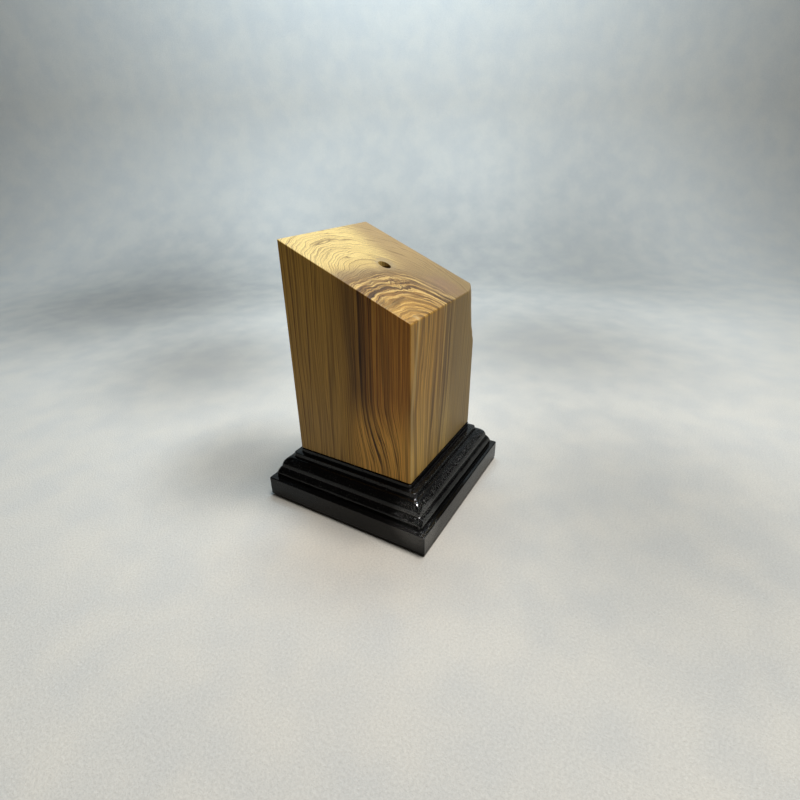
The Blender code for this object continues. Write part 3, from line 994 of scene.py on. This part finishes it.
@dataclass(frozen=True)
class BackdropCloth:
    """Brushed cotton backdrop, pale grey.

    It gives a matt ground with faint, broad mottling, and broad darker patches of painted shade.

    Lengths are in millimetres.
    """

    light: str = "CBC5BA"
    dark: str = "C4C0B8"
    mottle: float = 26.0
    nap: float = 0.9
    fleck: Point2 = (0.9, 1.08)
    roughness: Point2 = (0.85, 1.0)
    # Painted shade and shadow: centre, reach and strength of each broad darker patch; the first, just left
    # of the base, is a painted cast shadow.
    patches: tuple[tuple[Point3, float, float], ...] = (
        ((-30.0, 76.0, 0.0), 62.0, 0.45),
        ((60.0, 210.0, 0.0), 120.0, 0.4),
        ((160.0, 430.0, 60.0), 260.0, 0.6),
        ((390.0, 225.0, 70.0), 230.0, 0.4),
        ((510.0, 10.0, 60.0), 250.0, 0.4),
        ((240.0, -20.0, 0.0), 180.0, 0.4),
        ((40.0, -110.0, 0.0), 130.0, 0.3),
    )

    def material(self) -> bpy.types.Material:
        """Makes the material."""
        sheet = NodeSheet("cotton_brushed_pale_grey")
        place = sheet.millimetres()
        broad = sheet.cloud(place, (self.mottle,) * 3)
        share = sheet.add("MapRange", {0: broad, 1: 0.35, 2: 0.65})
        shade = {0: share, 6: linear(self.dark), 7: linear(self.light)}
        colour = sheet.add("Mix", shade, output=2, data_type="RGBA")
        # Each patch darkens the cloth with painted shade.
        for centre, reach, strength in self.patches:
            away = sheet.add("VectorMath", {0: place, 1: centre}, "Value", operation="DISTANCE")
            edge = sheet.add("Math", {0: broad, 1: reach * 0.12, 2: away}, operation="MULTIPLY_ADD")
            painted_shade = sheet.region((edge, reach * 1.1, reach * 0.1), peak=-strength)
            painted_shade = sheet.add("Math", {0: painted_shade, 1: 1.0}, operation="ADD")
            colour = sheet.add("VectorMath", {0: colour, "Scale": painted_shade}, operation="SCALE")
        nap = sheet.cloud(place, (self.nap,) * 3, 3.0, 0.7)
        low, high = self.fleck
        fleck = sheet.add("MapRange", {0: nap, 1: 0.3, 2: 0.7, 3: low, 4: high})
        sheet.drive("Base Color", sheet.add("VectorMath", {0: colour, "Scale": fleck}, operation="SCALE"))
        low, high = self.roughness
        sheet.drive("Roughness", sheet.add("MapRange", {0: nap, 1: 0.3, 2: 0.7, 3: low, 4: high}))
        sheet.emboss(nap, 0.4, 0.0008)
        return sheet.material


# ---------------------------------------------------------------------------
# Pieces
# ---------------------------------------------------------------------------


@dataclass
class ScrewHoles:
    """The two screw holes that run up through the base into the block.  Lengths are in metres."""

    spacing: float = 0.034
    clearance_radius: float = 0.0023
    head_radius: float = 0.0043
    head_rim: float = 0.0004
    counterbore: float = 0.006
    pilot_depth: float = 0.019
    overcut: float = 0.001

    def cutters(self, name: str, profile: Sequence[Point2]) -> list[bpy.types.Object]:
        """Makes one turned cutter for each hole.

        Args:
            name: The cutters' name.
            profile: (radius, height) points from axis to axis.

        Returns:
            The cutters.
        """
        made = []
        for side in (-1, 1):
            bm = lathe(profile, 40)
            bmesh.ops.translate(bm, verts=bm.verts, vec=(side * self.spacing / 2, 0, 0))
            made.append(object_from(bm, name))
        return made

    def through_base(self, bottom: float, top: float) -> list[bpy.types.Object]:
        """Cutters for the countersunk holes between two heights."""
        face = bottom + self.counterbore + self.head_rim
        neck = face + self.head_radius - self.clearance_radius
        profile = [
            (0, bottom - self.overcut),
            (self.head_radius, bottom - self.overcut),
            (self.head_radius, face),
            (self.clearance_radius, neck),
            (self.clearance_radius, top + self.overcut),
            (0, top + self.overcut),
        ]
        return self.cutters("base_hole", profile)

    def into_block(self, bottom: float) -> list[bpy.types.Object]:
        """Cutters for the blind pilot holes up from a height."""
        end = bottom + self.pilot_depth
        profile = [
            (0, bottom - self.overcut),
            (self.clearance_radius, bottom - self.overcut),
            (self.clearance_radius, end),
            (0, end + self.clearance_radius),
        ]
        return self.cutters("pilot_hole", profile)


@dataclass
class OliveBlock:
    """The sawn block with its sloping top, the log's rounded outside and the rod hole.

    Lengths are in metres.
    """

    slope: float = math.radians(23.0)
    arris: float = 0.00035
    wane_width: float = 0.0095
    wane_depth: float = 0.0032
    wane_length: float = 0.026
    wane_bulge: float = 0.07
    wane_steps: int = 12
    wane_profile: tuple[Point2, ...] = (
        (0.0, 1.0),
        (0.1, 0.86),
        (0.28, 0.76),
        (0.48, 0.64),
        (0.68, 0.52),
        (0.84, 0.27),
        (1.0, 0.05),
    )
    dent_depth: float = 0.00025
    dent_size: float = 0.007
    dent_bias: float = 0.3
    hole_radius: float = 0.0026
    hole_depth: float = 0.020
    hole_chamfer: float = 0.00025
    drill_point: float = 0.3
    # How far the rod hole's walls are darkened with painted shade.
    hole_shade_amount: float = 0.75
    side_steps: int = 28
    arris_steps: int = 3
    plain_levels: int = 12
    wane_levels: int = 24
    wood: OliveWood = field(default_factory=OliveWood)
    holes: ScrewHoles = field(default_factory=ScrewHoles)

    def build(self) -> bpy.types.Object:
        """Builds and dresses the block.

        Returns:
            The block, in place of its node.
        """
        low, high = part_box(Node.BLOCK.value)
        self.low, self.high = low, high
        self.low_top = high.z - (high.y - low.y) * math.tan(self.slope)
        bm = loft(self.sections())
        self.dent(bm)
        # The second finish is for the hole's walls, darkened with painted shade.
        finishes = [self.wood.material(), self.wood.material(self.hole_shade_amount)]
        block = object_from(bm, "olive_block_sanded", finishes)
        cut_with(block, [self.rod_hole(), *self.holes.into_block(low.z)])
        self.mark_faces(block)
        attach(block, BODY)
        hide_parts(Node.BLOCK.value)
        return block

    def top(self, y: float) -> float:
        """Height of the sloping top at a depth y."""
        return self.high.z - (self.high.y - y) * math.tan(self.slope)

    def sections(self) -> list[list[Vector]]:
        """The block's sections from the foot to the top, with both rims eased."""
        rise = self.low_top - self.low.z
        wane_start = 1.0 - self.wane_length / rise
        plain = [wane_start * step / self.plain_levels for step in range(self.plain_levels)]
        waned = [wane_start + (1 - wane_start) * step / self.wane_levels for step in range(self.wane_levels)]
        turns = [math.pi / 2 * step / self.arris_steps for step in range(self.arris_steps + 1)]
        eased = [(self.arris * (1 - math.cos(turn)), self.arris * (1 - math.sin(turn))) for turn in turns]
        foot = [self.section(0.0, inset, lift) for inset, lift in reversed(eased)]
        sides = [self.section(share, 0.0, 0.0) for share in (plain + waned)[1:]]
        rim = [self.section(1.0, inset, -drop) for inset, drop in eased]
        return foot + sides + rim

    def wane_share(self, share: float) -> float:
        """Size of the wane at a share of the height, against its size at the top."""
        depth = min(1.0, (1.0 - share) * (self.low_top - self.low.z) / self.wane_length)
        for (start, before), (end, after) in zip(self.wane_profile, self.wane_profile[1:]):
            if depth <= end:
                blend = (depth - start) / (end - start)
                return before + (after - before) * blend * blend * (3 - 2 * blend)
        return self.wane_profile[-1][1]

    def section(self, share: float, inset: float, lift: float) -> list[Vector]:
        """The block's section at a share of the height, tilted as the top is.

        Args:
            share: 0 at the foot, 1 at the sloping top.
            inset: How far the outline stands in from the sides.
            lift: Height added all over.

        Returns:
            The section's points.
        """
        wane = self.wane_share(share)
        left, right = self.low.x + inset, self.high.x - inset
        front, back = self.low.y + inset, self.high.y - inset
        start = Vector((right - self.wane_width * wane, front))
        end = Vector((right, front + self.wane_depth * wane))
        curve = bowed(start, end, -self.wane_bulge * (end - start).length, self.wane_steps)
        corners = [Vector((left, front)), start, *curve, Vector((right, back)), Vector((left, back))]
        radii = [self.arris] + [0.0] * (len(corners) - 3) + [self.arris] * 2
        eased = rounded(corners, radii, self.arris_steps, closed=True)
        outline = stepped(eased, lambda length: self.side_steps if length > LONG_SIDE else 1)
        rise = [share * (self.top(p.y) - self.low.z) + lift for p in outline]
        return [Vector((p.x, p.y, self.low.z + up)) for p, up in zip(outline, rise)]

    def dent(self, bm: bmesh.types.BMesh) -> None:
        """Makes the wane lumpy, as the outside of a log is.

        Args:
            bm: The block's mesh.
        """
        bm.normal_update()
        moves = {}
        for vertex in bm.verts:
            depth = (self.top(vertex.co.y) - vertex.co.z) / self.wane_length
            right = (vertex.co.x - (self.high.x - self.wane_width)) / self.wane_width
            front = 1 - (vertex.co.y - self.low.y) / self.wane_depth
            reach = min(1.0, max(0.0, right * 4)) * min(1.0, max(0.0, front)) * max(0.0, 1.0 - depth)
            lump = unevenness(vertex.co, self.dent_size, 3.0).x
            move = vertex.normal * reach * self.dent_depth * (lump - self.dent_bias)
            moves[vertex] = Vector((move.x, move.y, 0.0))
        place_vertices(moves)

    def rod_hole(self) -> bpy.types.Object:
        """Makes the cutter of the drilled hole, with a broken edge at the top and a drill point."""
        mouth = self.top(0.0)
        rise = self.hole_radius * math.tan(self.slope)
        bottom = mouth - self.hole_depth
        profile = [
            (0, bottom),
            (self.hole_radius, bottom + self.hole_radius * self.drill_point),
            (self.hole_radius, mouth - rise),
            (self.hole_radius + self.hole_chamfer * 0.4, mouth),
            (self.hole_radius + self.hole_chamfer, mouth + rise * 2),
            (0, mouth + rise * 2),
        ]
        return object_from(lathe(profile, 64), "rod_hole")

    def mark_faces(self, block: bpy.types.Object) -> None:
        """Gives the drilled walls their finish and marks the end grain for the wood's finish.

        Args:
            block: The finished block.
        """
        mesh = block.data
        end_grain = mesh.attributes.new("end_grain", "FLOAT", "FACE")
        for face in mesh.polygons:
            centre = face.center
            drilled = math.hypot(centre.x, centre.y) < self.hole_radius * 0.999
            # The drilled walls take the second finish, darkened with painted shade.
            face.material_index = 1 if drilled and centre.z < self.top(centre.y) - 0.0002 else 0
            radial = abs(face.normal.y) / (abs(face.normal.x) + abs(face.normal.y) + 1e-6)
            end_grain.data[face.index].value = 1.0 if abs(face.normal.z) > 0.3 else 0.5 * radial


@dataclass
class MouldedBase:
    """The base with a moulding run round its four sides and a low seat for the block.

    The profile's steps are in metres, from the underside up; what is left over in each
    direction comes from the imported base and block.
    """

    plinth_height: float = 0.0093
    shelf_width: float = 0.0025
    neck_height: float = 0.0022
    splay_rise: float = 0.0029
    splay_run: float = 0.0016
    quirk_width: float = 0.0003
    fillet_height: float = 0.0004
    ovolo_rise: float = 0.0044
    ovolo_run: float = 0.0034
    ovolo_bulge: float = 0.0009
    splay_bulge: float = 0.00015
    curve_steps: int = 7
    plinth_arris: float = 0.00045
    ledge_width: float = 0.0011
    tier_draft: float = 0.0003
    seat_height: float = 0.0022
    seat_reveal: float = 0.0004
    seat_inside: float = 0.002
    arris: float = 0.00028
    mitre_radius: float = 0.0014
    plinth_mitre_radius: float = 0.0005
    point_spacing: float = 0.0014
    wander_size: float = 0.011
    wander_depth: float = 0.00004
    brush_size: float = 0.0028
    brush_depth: float = 0.00005
    lacquer: BlackLacquer = field(default_factory=BlackLacquer)
    holes: ScrewHoles = field(default_factory=ScrewHoles)

    def build(self) -> bpy.types.Object:
        """Builds and dresses the base.

        Returns:
            The base, in place of its node.
        """
        self.low, self.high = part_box(Node.BASE.value)
        self.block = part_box(Node.BLOCK.value)[1]
        bm = loft([self.outline(out, z) for out, z in self.profile()])
        self.loosen(bm)
        base = object_from(bm, "moulded_base_lacquered", [self.lacquer.material()])
        cut_with(base, self.holes.through_base(self.low.z, self.high.z))
        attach(base, BODY)
        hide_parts(Node.BASE.value)
        return base

    def profile(self) -> list[Point2]:
        """(distance in from the plinth's side, height) up the moulding, with its edges eased."""
        z = self.low.z
        inset = 0.0
        line: list[Sequence[float]] = [(inset, z)]
        z += self.plinth_height
        line.append((inset, z))
        inset += self.shelf_width
        line.append((inset, z))
        z += self.neck_height
        line.append((inset, z))
        splay = Vector((inset + self.splay_run, z + self.splay_rise))
        line += bowed(Vector(line[-1]), splay, self.splay_bulge, self.curve_steps)
        quirk = splay.x + self.quirk_width
        line.append((quirk, splay.y))
        start = Vector((quirk, splay.y + self.fillet_height))
        line.append(start)
        end = start + Vector((self.ovolo_run, self.ovolo_rise))
        line += bowed(start, end, self.ovolo_bulge, self.curve_steps)
        line.append((end.x + self.ledge_width, end.y))
        tier_top = self.high.z - self.seat_height
        line.append((end.x + self.ledge_width + self.tier_draft, tier_top))
        seat = self.high.x - self.block.x - self.seat_reveal
        line.append((seat, tier_top))
        line.append((seat, self.high.z))
        line.append((seat + self.seat_inside, self.high.z))
        corners = [Vector(point) for point in line]
        smooth = [0.0] * (self.curve_steps - 1)
        radii = [0.0, self.plinth_arris, self.arris, self.arris]
        radii += smooth + [self.arris * 0.7] * 2 + [self.arris * 0.4]
        radii += smooth + [0.0] + [self.arris] * 3 + [self.arris * 0.6] * 2
        radii = radii[: len(corners) - 1] + [0.0]
        return [(p.x, p.y) for p in rounded(corners, radii, 3, closed=False)]

    def outline(self, inset: float, z: float) -> list[Vector]:
        """The base's outline at a height, with its mitres a little eased.

        Args:
            inset: Distance in from the plinth's side.
            z: The height.

        Returns:
            The outline's points.
        """
        share = min(1.0, inset / (self.high.x - self.block.x - self.seat_reveal))
        deeper = (self.high.y - self.block.y) - (self.high.x - self.block.x)
        x = self.high.x - inset
        y = self.high.y - inset - (deeper * share if inset > self.tier_inset() else 0.0)
        corners = [Vector(p) for p in ((-x, -y), (x, -y), (x, y), (-x, y))]
        radius = self.mitre_radius if inset > self.shelf_width / 2 else self.plinth_mitre_radius
        eased = rounded(corners, [radius] * 4, 5, closed=True)
        steps = round(2 * self.high.x / self.point_spacing)
        outline = stepped(eased, lambda length: steps if length > LONG_SIDE else 1)
        return [Vector((p.x, p.y, z)) for p in outline]

    def tier_inset(self) -> float:
        """Distance from the plinth's side in to the tier's top edge."""
        steps = self.shelf_width + self.splay_run + self.quirk_width + self.ovolo_run
        return steps + self.ledge_width + self.tier_draft + self.arris

    def loosen(self, bm: bmesh.types.BMesh) -> None:
        """Lets the sanded and brushed surface wander a little, more on the fine members than below.

        Args:
            bm: The base's mesh.
        """
        bm.normal_update()
        shelf = self.low.z + self.plinth_height
        moves = {}
        for vertex in (v for v in bm.verts if self.low.z < v.co.z < self.high.z):
            fine = min(1.0, max(0.0, (vertex.co.z - shelf) / 0.002))
            slow = unevenness(vertex.co, self.wander_size, 1.0).x * self.wander_depth
            quick = unevenness(vertex.co, self.brush_size, 5.0).y * self.brush_depth
            moves[vertex] = vertex.normal * (slow + quick * fine - self.wander_depth)
        place_vertices(moves)


@dataclass
class FeltPad:
    """The thin felt pad under the base.  Lengths are in metres."""

    corner: float = 0.002
    fray: float = 0.00012
    fray_size: float = 0.0011
    pinch: float = 0.00012
    point_spacing: float = 0.0008
    levels: int = 6
    felt: NeedledFelt = field(default_factory=NeedledFelt)

    def build(self) -> bpy.types.Object:
        """Builds and dresses the pad.

        Returns:
            The pad, in place of its node.
        """
        low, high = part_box(Node.PAD.value)
        corners = [Vector(p) for p in ((low.x, low.y), (high.x, low.y), (high.x, high.y), (low.x, high.y))]
        eased = rounded(corners, [self.corner] * 4, 8, closed=True)
        outline = stepped(eased, lambda length: max(1, math.ceil(length / self.point_spacing)))
        sections = []
        for level in range(self.levels + 1):
            share = level / self.levels
            pinch = self.pinch * (2 * share - 1) ** 2
            z = low.z + share * (high.z - low.z)
            ring = []
            for point in outline:
                place = Vector((point.x, point.y, z))
                fray = unevenness(place, self.fray_size, 2.0).x * self.fray
                ring.append(place - Vector((point.x, point.y, 0)).normalized() * (pinch + abs(fray)))
            sections.append(ring)
        pad = object_from(loft(sections), "felt_pad_cut", [self.felt.material()])
        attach(pad, BODY)
        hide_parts(Node.PAD.value)
        return pad


@dataclass
class Screws:
    """The two wood screws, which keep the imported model's shape."""

    plate: ZincPlate = field(default_factory=ZincPlate)

    def dress(self) -> list[bpy.types.Object]:
        """Gives both screws their finish.

        Returns:
            The screws.
        """
        material = self.plate.material()
        screws = [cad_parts[node.value] for node in (Node.SCREW_LEFT, Node.SCREW_RIGHT)]
        for screw in screws:
            screw.data.materials.clear()
            screw.data.materials.append(material)
        return screws


# ---------------------------------------------------------------------------
# Studio
# ---------------------------------------------------------------------------


@dataclass(frozen=True)
class Softbox:
    """A square soft light, facing a target.  Lengths are in metres.

    Places are how far ahead of the object, to its right and up, as the camera looks.
    """

    name: str
    place: Point3
    target: Point3
    size: float
    watts: float
    colour: Point3 = (1.0, 0.98, 0.95)

    def hang(self, heading: float) -> None:
        """Hangs the light for a camera that looks along a heading, in radians."""
        ahead = Vector((math.sin(heading), math.cos(heading), 0))
        right = Vector((ahead.y, -ahead.x, 0))
        turn = Matrix((ahead, right, (0, 0, 1))).transposed()
        place, target = turn @ Vector(self.place), turn @ Vector(self.target)
        data = bpy.data.lights.new(self.name, "AREA")
        data.shape = "SQUARE"
        data.size = self.size
        data.energy = self.watts
        data.color = self.colour
        light = bpy.data.objects.new(self.name, data)
        light.location = place
        light.rotation_euler = (target - place).to_track_quat("-Z", "Y").to_euler()
        bpy.context.scene.collection.objects.link(light)


@dataclass
class Studio:
    """A pale sweep of cloth, three soft lights and a camera close to the object.

    Lengths are in metres.  The heading is turned from +Y towards +X.
    """

    eye: Point3 = (-0.173477, -0.108144, 0.148999)
    heading: float = math.radians(59.71)
    dip: float = math.radians(27.16)
    roll: float = math.radians(-0.56)
    lens: float = 21.357
    sensor: float = 36.0
    clip: Point2 = (0.01, 20.0)
    floor_reach: float = 1.6
    wall_distance: float = 0.62
    wall_height: float = 0.9
    cove_radius: float = 0.22
    cove_steps: int = 24
    softboxes: tuple[Softbox, ...] = (
        Softbox("key", (-0.02, 0.11, 0.72), (0.0, 0.0, 0.06), 0.18, 5.0),
        Softbox("wall_wash", (0.3, 0.0, 0.75), (0.62, 0.0, 0.36), 0.4, 5.8, (0.56, 0.78, 1.0)),
        Softbox("bare_lamp", (-0.22, 0.2, 0.56), (0.0, 0.0, 0.03), 0.03, 0.16),
    )
    room_colour: str = "8E8C88"
    room_strength: float = 0.1
    cloth: BackdropCloth = field(default_factory=BackdropCloth)

    def build(self) -> None:
        """Sets up the sweep, the lights and the camera."""
        scene = bpy.context.scene
        scene.view_settings.view_transform = "Standard"
        self.sweep()
        self.lights()
        self.camera()

    def sweep(self) -> None:
        """Makes the floor with the cloth curving up behind the object."""
        bm = bmesh.new()
        start = bm.verts.new((0, -self.floor_reach, 0))
        edge_line = [start, bm.verts.new((0, self.wall_distance - self.cove_radius, 0))]
        bm.edges.new(edge_line)
        turned = bmesh.ops.spin(
            bm,
            geom=[edge_line[1]],
            cent=(0, self.wall_distance - self.cove_radius, self.cove_radius),
            axis=(1, 0, 0),
            angle=math.pi / 2,
            steps=self.cove_steps,
        )["geom_last"]
        last = next(item for item in turned if isinstance(item, bmesh.types.BMVert))
        top = bmesh.ops.extrude_vert_indiv(bm, verts=[last])["verts"][0]
        top.co.z = self.wall_height
        bmesh.ops.translate(bm, verts=bm.verts, vec=(-self.floor_reach, 0, 0))
        made = bmesh.ops.extrude_edge_only(bm, edges=bm.edges[:])["geom"]
        copies = [item for item in made if isinstance(item, bmesh.types.BMVert)]
        bmesh.ops.translate(bm, verts=copies, vec=(2 * self.floor_reach, 0, 0))
        turn = Matrix.Rotation(-self.heading, 3, "Z")
        bmesh.ops.rotate(bm, verts=bm.verts, cent=(0, 0, 0), matrix=turn)
        bmesh.ops.recalc_face_normals(bm, faces=bm.faces)
        object_from(bm, "backdrop_sweep", [self.cloth.material()])

    def lights(self) -> None:
        """Hangs the soft lights and sets the dim room."""
        for softbox in self.softboxes:
            softbox.hang(self.heading)
        world = bpy.data.worlds.new("dim_room")
        world.use_nodes = True
        room = world.node_tree.nodes["Background"]
        room.inputs["Color"].default_value = linear(self.room_colour)
        room.inputs["Strength"].default_value = self.room_strength
        bpy.context.scene.world = world

    def camera(self) -> None:
        """Places the camera."""
        ahead = Vector((math.sin(self.heading), math.cos(self.heading), 0))
        ahead = ahead * math.cos(self.dip) - Vector((0, 0, math.sin(self.dip)))
        level = Vector((math.cos(self.heading), -math.sin(self.heading), 0))
        above = level.cross(ahead)
        right = level * math.cos(self.roll) + above * math.sin(self.roll)
        up = above * math.cos(self.roll) - level * math.sin(self.roll)
        data = bpy.data.cameras.new("camera")
        data.lens = self.lens
        data.sensor_width = self.sensor
        data.clip_start, data.clip_end = self.clip
        camera = bpy.data.objects.new("camera", data)
        place = Matrix((right, up, -ahead)).transposed().to_4x4()
        place.translation = Vector(self.eye)
        camera.matrix_world = place
        bpy.context.scene.collection.objects.link(camera)
        bpy.context.scene.camera = camera


def report(name: str, piece: bpy.types.Object) -> None:
    """Logs a finished piece with its number of faces."""
    LOG.info("%s: %s, %d faces", name, piece.name, len(piece.data.polygons))


def main() -> None:
    """Builds the pieces in order and reports each one."""
    logging.basicConfig(level=logging.INFO, format="%(name)s: %(message)s")
    builders: tuple[tuple[str, Callable[[], bpy.types.Object]], ...] = (
        ("block", OliveBlock().build),
        ("base", MouldedBase().build),
        ("pad", FeltPad().build),
    )
    for name, build in builders:
        report(name, build())
    for screw in Screws().dress():
        report("screw", screw)
    Studio().build()


if __name__ == "__main__":
    main()
